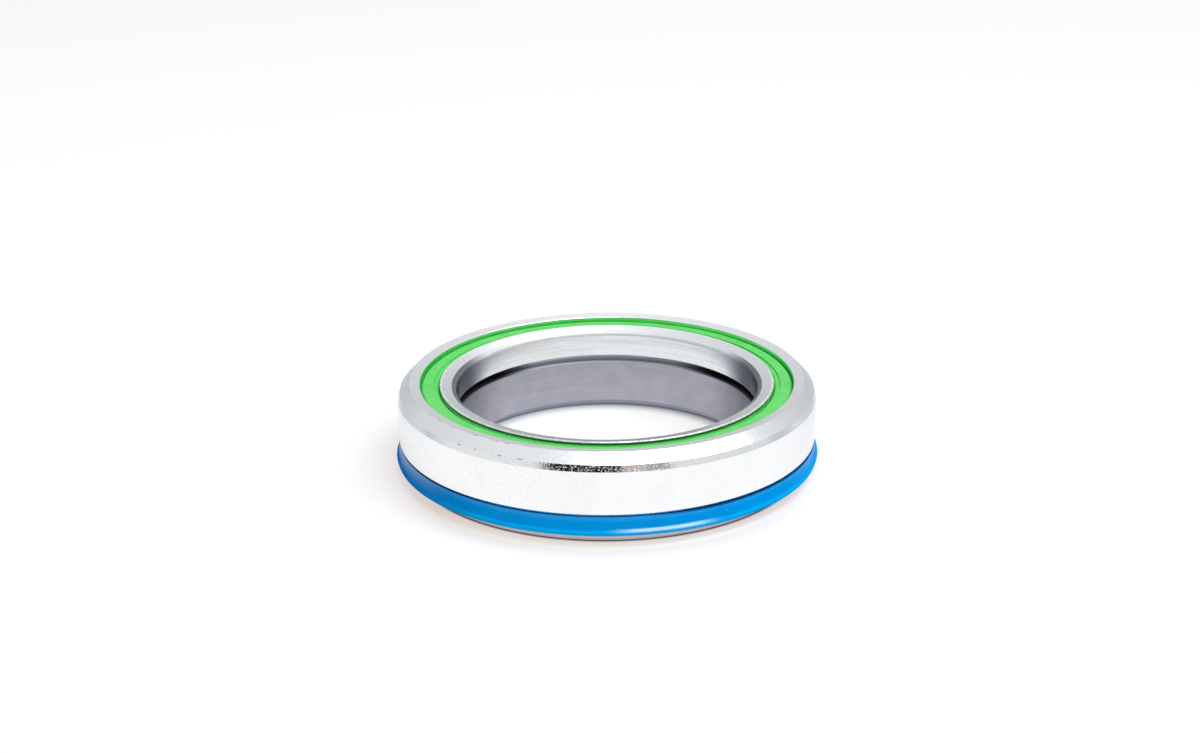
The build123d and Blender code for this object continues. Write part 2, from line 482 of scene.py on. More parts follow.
@dataclass(frozen=True)
class GroundSteel(Finish):
    """Ground steel: fine lines round the axis, a gritty face, and painted shade in the seam and at the
    left and right ends of the bore and the seam.

    The wall by the seal has a painted dark green line of shade, and under that a painted green
    reflection of the seal.
    """

    slot: Slot = Slot.GROUND_STEEL
    polished: Colour = (0.90, 0.91, 0.925)
    light: Colour = (0.87, 0.90, 0.91)
    dark: Colour = (0.79, 0.82, 0.84)
    gritty: Colour = (0.30, 0.31, 0.32)
    # painted shade: the part in the seam between the rings is a little darker
    seam: Colour = (0.74, 0.79, 0.82)
    # painted shade at the left and right ends of the bore and the seam
    shaded: Colour = (0.10, 0.11, 0.125)
    # painted reflection: green of the seal painted on the wall below the shade line
    mirrored: Colour = (0.80, 0.95, 0.85)
    # painted shade, not oil: the dark green line on the wall in the gap by the seal
    oiled: Colour = (0.02, 0.11, 0.04)
    line_spacing: float = 0.20
    line_breaks: float = 2.0
    line_share: float = 0.7
    speckle_size: float = 0.2
    tones: Span = (0.35, 0.68)
    wall_radius: float = 16.67
    painted_shade_line: Span = (8.34, 8.56)
    seam_radius: float = 15.13
    seam_top: float = 5.79
    seam_ends: Span = (0.45, 0.75)
    bore_edge: float = 15.52
    bore_ends: Span = (0.80, 0.96)
    end_share: float = 0.9
    face_radius: float = 15.25
    face_height: float = 8.0
    face_tone: float = 0.25
    face_relief: float = 2.5
    grit: Patches = Patches(0.11, (0.50, 0.62))
    grit_share: float = 0.50
    grit_fade: Span = (-0.75, -0.10)
    far_grit: float = 0.3
    shoulder_radius: float = 16.48
    shoulder_satin: float = 0.9
    lip_satin: float = 0.75
    satin_speckle: Span = (0.35, 0.6)
    roughness: float = 0.18
    tone_roughness: float = 0.08
    satin_roughness: float = 0.35
    relief: Relief = (0.10, 0.008)

    def paint(self, graph: Graph) -> None:
        """Builds the finish's nodes.

        Args:
            graph: the material's graph.
        """
        place = AxisPlace(graph)
        lines = place.lines(self.line_spacing, self.line_breaks)
        speckle = place.noise(self.speckle_size)
        tone = graph.step(mean(self.line_share, lines, speckle), self.tones)
        wall = place.outside(self.wall_radius)
        # painted shade: a dark green line on the wall in the gap by the seal
        painted_light_by_seal = wall * place.between(self.painted_shade_line)
        painted_reflection_by_lip = wall * place.below(self.painted_shade_line[0])
        in_seam = place.outside(self.seam_radius) * place.below(self.seam_top)
        # painted shade: the bore and the seam darker at their left and right ends
        bore_end = (1.0 - place.outside(self.bore_edge)) * place.sidewards(self.bore_ends)
        dim = graph.maths("MAXIMUM", bore_end, in_seam * place.sidewards(self.seam_ends))
        past_bore = place.outside(self.face_radius)
        on_top = place.above(self.face_height)
        face = past_bore * on_top * (1.0 - self.face_tone * tone)
        lip = (1.0 - past_bore) * on_top
        shoulder = place.outside(self.shoulder_radius) * place.above(self.painted_shade_line[1])
        shoulder = shoulder * graph.step(speckle, self.satin_speckle)
        satin = graph.maths("MAXIMUM", self.lip_satin * lip, self.shoulder_satin * shoulder)
        near = 1.0 - place.backwards(self.grit_fade)
        grit = place.patches(self.grit) * past_bore * (self.far_grit + (1.0 - self.far_grit) * near)
        colour = graph.blend(face, graph.blend(tone, self.light, self.dark), self.polished)
        colour = graph.blend(self.grit_share * grit, colour, self.gritty)
        # painted shade in the seam
        colour = graph.blend(in_seam, colour, self.seam)
        colour = graph.blend(self.end_share * dim, colour, self.shaded)
        # painted reflection of the seal on the wall
        colour = graph.blend(painted_reflection_by_lip, colour, self.mirrored)
        graph.surface({
            # painted shade: the dark green line by the seal
            "Base Color": graph.blend(painted_light_by_seal, colour, self.oiled),
            "Metallic": 1.0 - graph.maths("MAXIMUM", satin, painted_light_by_seal),
            "Roughness": self.roughness + self.tone_roughness * tone + self.satin_roughness * satin,
            "Normal": graph.bump(lines + self.face_relief * speckle * face, self.relief),
        })


@dataclass(frozen=True)
class TurnedRace(Finish):
    """Grey turned metal with a faint purple cast: close tool lines, painted light on the rim, an oily
    top.

    Painted shade dims the bore at its ends, and the top at its ends too, painted darkest where little
    light reaches it.
    """

    slot: Slot = Slot.RACE_METAL
    light: Colour = (0.455, 0.455, 0.515)
    dark: Colour = (0.405, 0.405, 0.465)
    # painted light: the rim outside the seat is painted lighter
    painted_rim_light: Colour = (0.66, 0.65, 0.68)
    oiled: Colour = (0.50, 0.52, 0.56)
    shaded: Colour = (0.06, 0.065, 0.08)
    unlit: Colour = (0.006, 0.0065, 0.008)
    line_spacing: float = 0.13
    line_breaks: float = 1.5
    line_share: float = 0.6
    stain_size: float = 1.6
    tones: Span = (0.36, 0.66)
    rim_inside: float = 19.30
    bore_edge: float = 15.02
    bore_ends: Span = (0.70, 1.0)
    end_share: float = 0.65
    seam_bottom: float = 4.985
    seam_ends: Span = (0.45, 0.75)
    unlit_radii: Span = (15.01, 15.13)
    unlit_shift: float = 0.14
    shift_right: Span = (0.0, 0.6)
    oil_cover: float = 0.7
    roughness: float = 0.34
    tone_roughness: float = 0.08
    oil_roughness: float = 0.3
    relief: Relief = (0.12, 0.008)

    def paint(self, graph: Graph) -> None:
        """Builds the finish's nodes.

        Args:
            graph: the material's graph.
        """
        place = AxisPlace(graph)
        lines = place.lines(self.line_spacing, self.line_breaks)
        stain = place.noise(self.stain_size, Detail.RICH)
        tone = graph.step(mean(self.line_share, lines, stain), self.tones)
        # painted shade: the bore darker at its left and right ends
        bore_end = place.sidewards(self.bore_ends) * (1.0 - place.outside(self.bore_edge))
        colour = graph.blend(tone, self.light, self.dark)
        # painted light on the rim
        colour = graph.blend(place.outside(self.rim_inside), colour, self.painted_rim_light)
        colour = graph.blend(self.end_share * bore_end, colour, self.shaded)
        oil = place.above(self.seam_bottom)
        # painted shade: the top dark at its left and right ends, darkest near the bore
        shifted = place.radius - self.unlit_shift * MM * place.rightwards(self.shift_right)
        gap = graph.blend(graph.step(shifted, self.unlit_radii, MM), self.shaded, self.unlit)
        top = graph.blend(place.sidewards(self.seam_ends), self.oiled, gap)
        graph.surface({
            "Base Color": graph.blend(oil, colour, top),
            "Metallic": 1.0 - self.oil_cover * oil,
            "Roughness": self.roughness + self.tone_roughness * tone + self.oil_roughness * oil,
            "Normal": graph.bump(lines, self.relief),
        })


@dataclass(frozen=True)
class Rubber(Finish):
    """Moulded green rubber with a satin skin, faint clouding, a little dust and, where radii are given,
    painted shade at its edge.
    """

    slot: Slot = Slot.SEAL_RUBBER
    colour: Colour = (0.145, 0.80, 0.165)
    shade: Colour = (0.11, 0.72, 0.13)
    dust: Colour = (0.55, 0.88, 0.57)
    # painted shade on the outer edge, where radii are given
    painted_edge_shading: Colour = (0.02, 0.48, 0.07)
    painted_edge_radii: Optional[Span] = None
    painted_edge_share: float = 0.7
    grain_size: float = 0.18
    cloud_size: float = 2.2
    cloud_share: float = 0.6
    tones: Span = (0.38, 0.64)
    specks: Patches = Patches(0.28, (0.76, 0.82))
    speck_share: float = 0.5
    specular: float = 0.3
    roughness: float = 0.40
    tone_roughness: float = 0.10
    speck_roughness: float = 0.2
    grain_relief: float = 0.6
    relief: Relief = (0.25, 0.012)

    def paint(self, graph: Graph) -> None:
        """Builds the finish's nodes.

        Args:
            graph: the material's graph.
        """
        place = AxisPlace(graph)
        grain = place.noise(self.grain_size)
        clouds = place.noise(self.cloud_size, Detail.RICH)
        specks = place.patches(self.specks)
        tone = graph.step(mean(self.cloud_share, clouds, grain), self.tones)
        colour = graph.blend(tone, self.colour, self.shade)
        # painted shading at the edge: shade on the green seal, light on the wiper's bead
        if self.painted_edge_radii:
            stain = self.painted_edge_share * place.outwards(self.painted_edge_radii)
            colour = graph.blend(stain, colour, self.painted_edge_shading)
        roughness = self.roughness + self.tone_roughness * (tone - HALF) + self.speck_roughness * specks
        graph.surface({
            "Base Color": graph.blend(self.speck_share * specks, self.shaded(place, colour), self.dust),
            "Roughness": roughness,
            "Specular IOR Level": self.specular,
            "Normal": graph.bump(mean(self.grain_relief, grain, clouds), self.relief),
            **self.coat(place),
        })

    def shaded(self, place: AxisPlace, colour: Shade) -> Shade:
        """The colour with the painted shade that one side has; plain rubber has none."""
        return colour

    def coat(self, place: AxisPlace) -> dict[str, Any]:
        """The shader's coat inputs; plain rubber has none."""
        return {}


@dataclass(frozen=True)
class WiperRubber(Rubber):
    """Blue rubber: painted shade at its left end and in the gap on the right, painted light on its bead,
    hazy and with one glossy patch.
    """

    slot: Slot = Slot.WIPER_RUBBER
    colour: Colour = (0.001, 0.35, 0.88)
    shade: Colour = (0.001, 0.315, 0.81)
    dust: Colour = (0.35, 0.60, 0.88)
    # painted light: the wiper's bead is painted lighter
    painted_edge_shading: Colour = (0.003, 0.50, 0.97)
    painted_edge_radii: Optional[Span] = (21.08, 21.20)
    specular: float = 0.0
    roughness: float = 0.24
    # painted shade: the left end darker
    dim: Colour = (0.002, 0.195, 0.61)
    dim_stop: Span = (-1.0, -0.45)
    # painted shade: the lip darker in the gap on the right
    gap: Colour = (0.0005, 0.065, 0.23)
    gap_bottom: float = 2.84
    gap_start: Span = (0.10, 0.45)
    gap_share: float = 0.85
    shine_heights: Span = (1.46, 1.84)
    shine_start: Span = (-0.03, 0.16)
    shine_stop: Span = (0.36, 0.52)
    shine_back: Span = (-0.5, -0.3)
    lip_heights: Span = (2.45, 2.80)
    lip_haze: float = 0.12
    haze_heights: Span = (1.4, 2.9)
    left_stop: Span = (-0.95, -0.70)
    left_haze: float = 0.50
    right_start: Span = (0.80, 0.99)
    right_haze: float = 0.30
    coat_roughness: float = 0.2
    coat_ior: float = 2.5

    def in_gap(self, place: AxisPlace) -> Shade:
        """1 in the gap under the outer ring, on the right, where shade is painted."""
        return place.above(self.gap_bottom) * place.rightwards(self.gap_start)

    def shaded(self, place: AxisPlace, colour: Shade) -> Shade:
        """The colour with painted shade at the left end and in the gap.

        Args:
            place: where the point lies.
            colour: the rubber's colour.

        Returns:
            The shaded colour.
        """
        blend = place.graph.blend
        colour = blend(1.0 - place.rightwards(self.dim_stop), colour, self.dim)
        return blend(self.gap_share * self.in_gap(place), colour, self.gap)

    def coat(self, place: AxisPlace) -> dict[str, Any]:
        """The shader's coat inputs: the glossy patch, and the haze along the lip and at both ends.

        Args:
            place: where the point lies.

        Returns:
            The inputs by name.
        """
        patch = place.rightwards(self.shine_start) * (1.0 - place.rightwards(self.shine_stop))
        patch = patch * (1.0 - place.backwards(self.shine_back)) * place.between(self.shine_heights)
        left = self.left_haze * (1.0 - place.rightwards(self.left_stop))
        right = self.right_haze * place.rightwards(self.right_start)
        haze = self.lip_haze * place.upwards(self.lip_heights)
        haze = haze + place.upwards(self.haze_heights) * (left + right)
        return {
            "Coat Weight": place.graph.maths("MAXIMUM", patch, haze * (1.0 - self.in_gap(place))),
            "Coat Roughness": self.coat_roughness,
            "Coat IOR": self.coat_ior,
        }


@dataclass(frozen=True)
class MouldedNylon(Finish):
    """Natural nylon with a faintly mottled, waxy skin."""

    slot: Slot = Slot.RETAINER_NYLON
    colour: Colour = (0.75, 0.72, 0.62)
    shade: Colour = (0.66, 0.62, 0.52)
    mottle_size: float = 0.9
    roughness: float = 0.38
    mottle_roughness: float = 0.14
    relief: Relief = (0.2, 0.02)

    def paint(self, graph: Graph) -> None:
        """Builds the finish's nodes.

        Args:
            graph: the material's graph.
        """
        mottle = AxisPlace(graph).noise(self.mottle_size, Detail.RICH)
        graph.surface({
            "Base Color": graph.blend(mottle, self.colour, self.shade),
            "Roughness": self.roughness + self.mottle_roughness * mottle,
            "Normal": graph.bump(mottle, self.relief),
        })


@dataclass(frozen=True)
class BallSteel(Finish):
    """Polished bearing steel with a breath of oil."""

    slot: Slot = Slot.BALL_STEEL
    colour: Colour = (0.76, 0.77, 0.79)
    oiled: Colour = (0.66, 0.66, 0.66)
    film: Patches = Patches(1.1, (0.4, 0.65), Detail.FINE)
    roughness: float = 0.06
    film_roughness: float = 0.10

    def paint(self, graph: Graph) -> None:
        """Builds the finish's nodes.

        Args:
            graph: the material's graph.
        """
        film = AxisPlace(graph).patches(self.film)
        graph.surface({
            "Base Color": graph.blend(film, self.colour, self.oiled),
            "Metallic": 1.0,
            "Roughness": self.roughness + self.film_roughness * film,
        })


def add_object(name: str, data: bpy.types.ID) -> bpy.types.Object:
    """Adds an object to the scene.

    Args:
        name: its name.
        data: its mesh, lamp or camera.

    Returns:
        The new object.
    """
    made = bpy.data.objects.new(name, data)
    bpy.context.scene.collection.objects.link(made)
    return made


@dataclass(frozen=True)
class Corner:
    """A corner of a turned section: radius, height and rounding in millimetres."""

    radius: float
    height: float
    rounding: float = 0.0
    supports: tuple[float, ...] = ()


@dataclass(frozen=True)
class Groove:
    """A raceway in a turned section: an arc about the balls' centres, in millimetres."""

    start: Spot
    end: Spot
    centre: Spot
    steps: int = 14


@dataclass(frozen=True)
class Sample:
    """A point of a section with its outward normals on both sides and its place by an edge."""

    point: np.ndarray
    before: np.ndarray
    after: np.ndarray
    edge: int = -1
    away: float = 0.0


def unit(vector: np.ndarray) -> np.ndarray:
    """The vector at length one."""
    return vector / np.linalg.norm(vector)


def outward(run: np.ndarray) -> np.ndarray:
    """The outward normal of a run whose material lies on its left."""
    return np.array((run[1], -run[0]))


@dataclass
class Section:
    """A closed section, run round with its material on the left, that is turned about the axis."""

    stations: Sequence[Union[Corner, Groove]]
    round_steps: int = 8

    def ends(self, index: int) -> tuple[np.ndarray, np.ndarray]:
        """First and last point of a station, before any rounding.

        Args:
            index: the station's number, which may run past the end.

        Returns:
            The two points.
        """
        station = self.stations[index % len(self.stations)]
        if isinstance(station, Corner):
            point = np.array((station.radius, station.height))
            return point, point
        return np.array(station.start), np.array(station.end)

    def samples(self) -> list[Sample]:
        """Points along the whole section.

        Returns:
            The samples in order.
        """
        found: list[Sample] = []
        for index, station in enumerate(self.stations):
            first, last = self.ends(index)
            run_in = unit(first - self.ends(index - 1)[1])
            run_out = unit(self.ends(index + 1)[0] - last)
            if isinstance(station, Corner):
                found += self.corner_samples(index, station, run_in, run_out)
            else:
                found += self.groove_samples(station, run_in, run_out)
        return found

    def corner_samples(
        self, index: int, corner: Corner, run_in: np.ndarray, run_out: np.ndarray
    ) -> list[Sample]:
        """Points round one corner.

        Args:
            index: the corner's number.
            corner: the corner.
            run_in: direction of the run before it.
            run_out: direction of the run after it.

        Returns:
            The corner's samples, with those of its supports on both sides.
        """
        point = np.array((corner.radius, corner.height))
        before, after = outward(run_in), outward(run_out)
        if corner.rounding == 0.0:
            return [Sample(point, before, after)]
        turn = math.atan2(
            run_in[0] * run_out[1] - run_in[1] * run_out[0], float(run_in @ run_out)
        )
        side = math.copysign(1.0, turn)
        tangent = corner.rounding * math.tan(abs(turn) / 2)
        start = point - tangent * run_in
        centre = start - side * corner.rounding * before
        arc = []
        for step in range(self.round_steps + 1):
            angle = turn * step / self.round_steps
            cosine, sine = math.cos(angle), math.sin(angle)
            normal = np.array(
                (cosine * before[0] - sine * before[1], sine * before[0] + cosine * before[1])
            )
            arc.append(Sample(centre + side * corner.rounding * normal, normal, normal, index))
        lead = [
            Sample(point - away * run_in, before, before, index, away)
            for away in reversed(corner.supports)
        ]
        trail = [Sample(point + away * run_out, after, after, index, away) for away in corner.supports]
        return lead + arc + trail

    @staticmethod
    def groove_samples(groove: Groove, run_in: np.ndarray, run_out: np.ndarray) -> list[Sample]:
        """Points along one raceway.

        Args:
            groove: the raceway.
            run_in: direction of the run before it.
            run_out: direction of the run after it.

        Returns:
            The raceway's samples.
        """
        centre = np.array(groove.centre)
        spokes = [np.array(end) - centre for end in (groove.start, groove.end)]
        angles = [math.atan2(spoke[1], spoke[0]) for spoke in spokes]
        sweep = (angles[1] - angles[0] + math.pi) % (2 * math.pi) - math.pi
        radius = float(np.linalg.norm(spokes[0]))
        found = []
        for step in range(groove.steps + 1):
            angle = angles[0] + sweep * step / groove.steps
            spoke = np.array((math.cos(angle), math.sin(angle)))
            before = outward(run_in) if step == 0 else -spoke
            after = outward(run_out) if step == groove.steps else -spoke
            found.append(Sample(centre + radius * spoke, before, after))
        return found


@dataclass(frozen=True)
class Nick:
    """A small dent in an edge: where it is round the axis and its sizes in millimetres."""

    edge: int
    angle: float
    half_width: float
    reach: float
    depth: float


@dataclass
class TurnedPiece:
    """A ring that is turned from a section.

    The ripples of its wave hold the number of waves round the axis, their share and where they start.
    """

    name: str
    node: str
    body: Body
    finish: Finish
    segments: int = 512
    wave: float = 0.0
    nicks: list[Nick] = field(default_factory=list)

    NICK_ANGLES = 6
    ANGLE_DIGITS = 5
    RIPPLES = ((2, 1.0, 0.6), (5, 0.5, 0.0), (11, 0.3, 0.0))

    def section(self) -> Section:
        """The piece's section."""
        raise NotImplementedError

    def angles(self, samples: list[Sample]) -> np.ndarray:
        """Angles round the axis at which the section is set, closer together at the nicks.

        Args:
            samples: the section's samples.

        Returns:
            The angles in order.
        """
        reach = max(float(sample.point[0]) for sample in samples)
        found = list(np.arange(self.segments) * (2 * math.pi / self.segments))
        for nick in self.nicks:
            spread = np.linspace(-1.0, 1.0, 2 * self.NICK_ANGLES + 1) * nick.half_width / reach
            found += list((nick.angle + spread) % (2 * math.pi))
        ordered = np.unique(np.round(found, self.ANGLE_DIGITS))
        closed = 2 * math.pi - ordered[-1] + ordered[0] < 10.0**-self.ANGLE_DIGITS
        return ordered[:-1] if closed else ordered

    def dents(self, samples: list[Sample], angles: np.ndarray) -> tuple[np.ndarray, np.ndarray]:
        """How the nicks push the surface in.

        Args:
            samples: the section's samples.
            angles: angles round the axis.

        Returns:
            The shift in radius and height of each vertex, and its wear from 0 to 1.
        """
        shift = np.zeros((len(samples), len(angles), 2))
        wear = np.zeros((len(samples), len(angles)))
        for nick in self.nicks:
            across = (angles - nick.angle + math.pi) % (2 * math.pi) - math.pi
            members = [place for place, sample in enumerate(samples) if sample.edge == nick.edge]
            normal = unit(samples[members[0]].before + samples[members[-1]].after)
            for place in members:
                away = samples[place].away / nick.reach
                round_axis = across * samples[place].point[0] / nick.half_width
                bite = np.clip(1 - round_axis**2, 0, 1) * max(0.0, 1 - away**2)
                shift[place] -= (nick.depth * bite)[:, None] * normal
                wear[place] = np.maximum(wear[place], bite)
        return shift, wear

    def mesh(self) -> bpy.types.Mesh:
        """Turns the section about the axis.

        Returns:
            The closed mesh in metres, with the section's own normals.
        """
        samples = self.section().samples()
        angles = self.angles(samples)
        rows, columns = len(samples), len(angles)
        shift, wear = self.dents(samples, angles)
        flat = np.array([sample.point for sample in samples])[:, None, :] + shift
        ripple = sum(share * np.sin(waves * angles + start) for waves, share, start in self.RIPPLES)
        radius = flat[..., 0] + self.wave * ripple
        cosine, sine = np.cos(angles), np.sin(angles)
        points = np.stack((radius * cosine, radius * sine, flat[..., 1]), axis=-1) * MM
        row = np.arange(rows)[:, None]
        column = np.arange(columns)[None, :]
        next_row, next_column = (row + 1) % rows, (column + 1) % columns
        quads = np.stack(
            (
                row * columns + column,
                row * columns + next_column,
                next_row * columns + next_column,
                next_row * columns + column,
            ),
            axis=-1,
        ).reshape(-1, 4)
        made = bpy.data.meshes.new(self.name)
        made.from_pydata(points.reshape(-1, 3).tolist(), [], quads.tolist(), shade_flat=False)
        made.attributes.new(WEAR, "FLOAT", "POINT").data.foreach_set("value", wear.reshape(-1))
        made.normals_split_custom_set(self.normals(samples, angles, points, quads, wear))
        made.validate()
        return made

    @staticmethod
    def normals(
        samples: list[Sample],
        angles: np.ndarray,
        points: np.ndarray,
        quads: np.ndarray,
        wear: np.ndarray,
    ) -> np.ndarray:
        """Normals of all face corners: the section's own, or the face's where it is nicked.

        Args:
            samples: the section's samples.
            angles: angles round the axis.
            points: the vertices, by sample and angle.
            quads: the faces' vertex numbers.
            wear: each vertex's wear.

        Returns:
            One normal a face corner.
        """
        after = np.array([sample.after for sample in samples])
        before = np.roll(np.array([sample.before for sample in samples]), -1, axis=0)
        here = np.stack((np.cos(angles), np.sin(angles)), axis=-1)
        there = np.roll(here, -1, axis=0)

        def spun(flat: np.ndarray, way: np.ndarray) -> np.ndarray:
            """Turns the section's normals to each angle.

            Args:
                flat: normals in the section, as radius and height.
                way: directions of the angles.

            Returns:
                The normals in space, by sample and angle.
            """
            level = flat[:, None, 0:1] * way[None, :, :]
            rise = np.broadcast_to(flat[:, None, 1:2], (*level.shape[:2], 1))
            return np.concatenate((level, rise), axis=-1).reshape(-1, 3)

        found = np.stack(
            (spun(after, here), spun(after, there), spun(before, there), spun(before, here)), axis=1
        )
        vertices = points.reshape(-1, 3)
        worn = wear.reshape(-1)[quads].max(axis=1) > 0
        corner = vertices[quads[worn]]
        face = np.cross(corner[:, 2] - corner[:, 0], corner[:, 3] - corner[:, 1])
        found[worn] = (face / np.linalg.norm(face, axis=1, keepdims=True))[:, None, :]
        return found.reshape(-1, 3)

    def build(self) -> None:
        """Makes the piece, dresses it and sets it on its body."""
        piece = add_object(self.name, self.mesh())
        piece.data.materials.append(self.finish.material())
        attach(piece, self.body.value)
        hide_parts(self.node)
        log.info("%s: %d faces on %s", self.name, len(piece.data.polygons), self.body.value)


@dataclass
class OuterRing(TurnedPiece):
    """Plated outer ring: dished land, 45 degree seat, narrow band and plain cylinder."""

    name: str = "outer_ring_plated"
    node: str = "outer_ring"
    body: Body = Body.HEAD_TUBE_SIDE
    finish: Finish = field(default_factory=ZincPlate)
    segments: int = 720

    outer_radius: float = 20.90
    foot_radius: float = 20.40
    band_radius: float = 20.70
    land_outer_radius: float = 19.75
    land_inner_radius: float = 18.67
    shoulder_radius: float = 19.45
    flange_radius: float = 18.40
    upper_groove_radius: float = 18.95
    lower_groove_radius: float = 19.65
    bottom: float = 2.50
    top: float = 9.00
    seat_bottom: float = 8.05
    band_bottom: float = 7.43
    foot_top: float = 3.24
    upper_groove: tuple[float, float] = (7.96, 8.40)
    lower_groove: tuple[float, float] = (2.85, 3.35)
    track_centre: Spot = (18.075, 5.69)
    track_radius: float = 1.64
    land_dish: float = 0.14
    land_round: float = 0.12
    edge: float = 0.06
    edge_supports: tuple[float, ...] = (0.06, 0.10, 0.15)

    BAND_EDGE = 3
    SEAT_EDGE = 4
    LAND_EDGE = 5

    def section(self) -> Section:
        """Draws the section.

        Returns:
            The ring's section, from its lower shoulder outwards.
        """
        across, up = self.track_centre
        upper = up + math.sqrt(self.track_radius**2 - (self.flange_radius - across) ** 2)
        lower = up - math.sqrt(self.track_radius**2 - (self.shoulder_radius - across) ** 2)
        supports = self.edge_supports
        return Section([
            Corner(self.shoulder_radius, self.bottom),
            Corner(self.foot_radius, self.bottom, self.edge),
            Corner(self.outer_radius, self.foot_top, self.edge),
            Corner(self.outer_radius, self.band_bottom, self.edge, supports),
            Corner(self.band_radius, self.seat_bottom, self.edge, supports),
            Corner(self.land_outer_radius, self.top, self.edge, supports),
            Corner(self.land_inner_radius, self.top - self.land_dish, self.land_round),
            Corner(self.land_inner_radius, self.upper_groove[1]),
            Corner(self.upper_groove_radius, self.upper_groove[1]),
            Corner(self.upper_groove_radius, self.upper_groove[0]),
            Corner(self.flange_radius, self.upper_groove[0]),
            Groove((self.flange_radius, upper), (self.shoulder_radius, lower), self.track_centre),
            Corner(self.shoulder_radius, self.lower_groove[1]),
            Corner(self.lower_groove_radius, self.lower_groove[1]),
            Corner(self.lower_groove_radius, self.lower_groove[0]),
            Corner(self.shoulder_radius, self.lower_groove[0]),
        ])


@dataclass
class InnerRing(TurnedPiece):
    """Ground inner ring with a dished top face and a conical foot."""

    name: str = "inner_ring_ground"
    node: str = "inner_ring"
    body: Body = Body.FORK_SIDE
    finish: Finish = field(default_factory=GroundSteel)

    bore_radius: float = 15.10
    bore_round: float = 0.30
    dish: float = 0.39
    shoulder_round: float = 0.12
    shoulder_radius: float = 16.70
    flange_radius: float = 18.275
    foot_radius: float = 17.50
    bottom: float = 2.50
    seat_top: float = 5.8033
    top: float = 8.71
    track_centre: Spot = (18.075, 5.69)
    track_radius: float = 1.64
    edge: float = 0.06

    def section(self) -> Section:
        """Draws the section.

        Returns:
            The ring's section, from the top of its bore downwards.
        """
        across, up = self.track_centre
        lower = up - math.sqrt(self.track_radius**2 - (self.flange_radius - across) ** 2)
        upper = up + math.sqrt(self.track_radius**2 - (self.shoulder_radius - across) ** 2)
        return Section([
            Corner(self.bore_radius, self.top - self.dish, self.bore_round),
            Corner(self.bore_radius, self.seat_top),
            Corner(self.foot_radius, self.bottom),
            Corner(self.flange_radius, self.bottom, self.edge),
            Groove((self.flange_radius, lower), (self.shoulder_radius, upper), self.track_centre),
            Corner(self.shoulder_radius, self.top, self.shoulder_round),
        ])


@dataclass
class CrownRace(TurnedPiece):
    """Turned crown race: bore, conical seat, and the rim that the wiper sits in."""

    name: str = "crown_race_turned"
    node: str = "crown_race"
    body: Body = Body.FORK_SIDE
    finish: Finish = field(default_factory=TurnedRace)

    bore_radius: float = 15.00
    lead_in: float = 0.65
    top_edge: float = 0.05
    rim_radius: float = 19.50
    rim_height: float = 1.05
    rim_edge: float = 0.12
    groove_radius: float = 18.85
    groove_top: float = 1.70
    collar_radius: float = 19.25
    collar_top: float = 2.05
    seat_foot_radius: float = 17.8270
    seat_top_radius: float = 15.6449
    top: float = 5.0533
    edge: float = 0.06

    def section(self) -> Section:
        """Draws the section.

        Returns:
            The race's section, from the lead-in of its bore outwards.
        """
        return Section([
            Corner(self.bore_radius + self.lead_in, 0.0),
            Corner(self.rim_radius, 0.0, self.rim_edge),
            Corner(self.rim_radius, self.rim_height, self.edge),
            Corner(self.groove_radius, self.rim_height),
            Corner(self.groove_radius, self.groove_top),
            Corner(self.collar_radius, self.groove_top),
            Corner(self.collar_radius, self.collar_top),
            Corner(self.seat_foot_radius, self.collar_top),
            Corner(self.seat_top_radius, self.top, self.edge),
            Corner(self.bore_radius + self.top_edge, self.top),
            Corner(self.bore_radius, self.top - self.top_edge),
            Corner(self.bore_radius, self.lead_in),
        ])


@dataclass
class WiperSeal(TurnedPiece):
    """Blue wiper: a flared rubber ring with a thin lip under the outer ring."""

    name: str = "crown_race_wiper"
    node: str = "crown_race_seal"
    body: Body = Body.FORK_SIDE
    finish: Finish = field(default_factory=WiperRubber)
    wave: float = 0.012

    groove_radius: float = 18.85
    rim_radius: float = 19.50
    rim_height: float = 1.05
    bead_radius: float = 21.24
    undercut: float = 0.12
    bead: tuple[float, float] = (1.13, 1.53)
    foot_round: float = 0.18
    bead_round: float = 0.08
    skirt_radius: float = 21.05
    flare_top: float = 1.79
    flare_round: float = 0.10
    lip_radii: tuple[float, float] = (20.7741, 20.8841)
    lip_top: float = 2.95
    lip_edge: float = 0.05
    root: Spot = (20.2673, 2.20)
    collar_radius: float = 19.25
    collar_top: float = 2.05
    groove_top: float = 1.70

    def section(self) -> Section:
        """Draws the section.

        Returns:
            The wiper's section, from its foot in the groove outwards.
        """
        return Section([
            Corner(self.groove_radius, self.rim_height),
            Corner(self.rim_radius, self.rim_height),
            Corner(self.bead_radius - self.undercut, self.bead[0], self.foot_round),
            Corner(self.bead_radius, self.bead[1], self.bead_round),
            Corner(self.skirt_radius, self.flare_top, self.flare_round),
            Corner(self.lip_radii[1], self.lip_top, self.lip_edge),
            Corner(self.lip_radii[0], self.lip_top, self.lip_edge),
            Corner(*self.root),
            Corner(self.collar_radius, self.collar_top),
            Corner(self.collar_radius, self.groove_top),
            Corner(self.groove_radius, self.groove_top),
        ])


